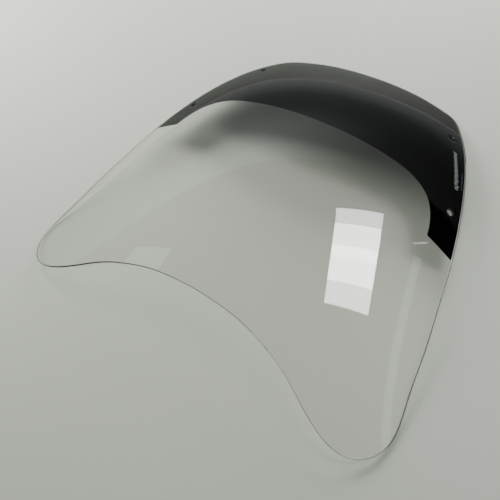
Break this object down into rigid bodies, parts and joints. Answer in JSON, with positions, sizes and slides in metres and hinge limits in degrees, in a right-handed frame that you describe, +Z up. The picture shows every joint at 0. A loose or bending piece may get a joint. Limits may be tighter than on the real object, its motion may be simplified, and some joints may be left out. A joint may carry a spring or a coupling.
{
  "type": "motorcycle windshield screen",
  "caption": "One-piece clear moulded windshield screen, domed, with a concave top edge between two rounded horns and a gloss black printed lower band with open fixing holes",
  "frame": {"origin": "centre of the footprint, on the surface the screen lies on, convex face up", "axes": "+X across the screen towards the side with the printed mark, +Y from the concave top edge to the lower mounting edge, +Z up out of the convex face"},
  "size_m": [0.4518, 0.448, 0.0719],
  "materials": {
    "clear_sheet": "clear polished thermoplastic",
    "black_print": "gloss black reverse print",
    "white_print": "white print",
    "blue_print": "muted blue print"
  },
  "bodies": {
    "root": {"screen_panel": "clear_sheet", "blackout_band": "black_print", "print_mark_main": "white_print", "print_mark_fine": "blue_print"}
  },
  "joints": []
}
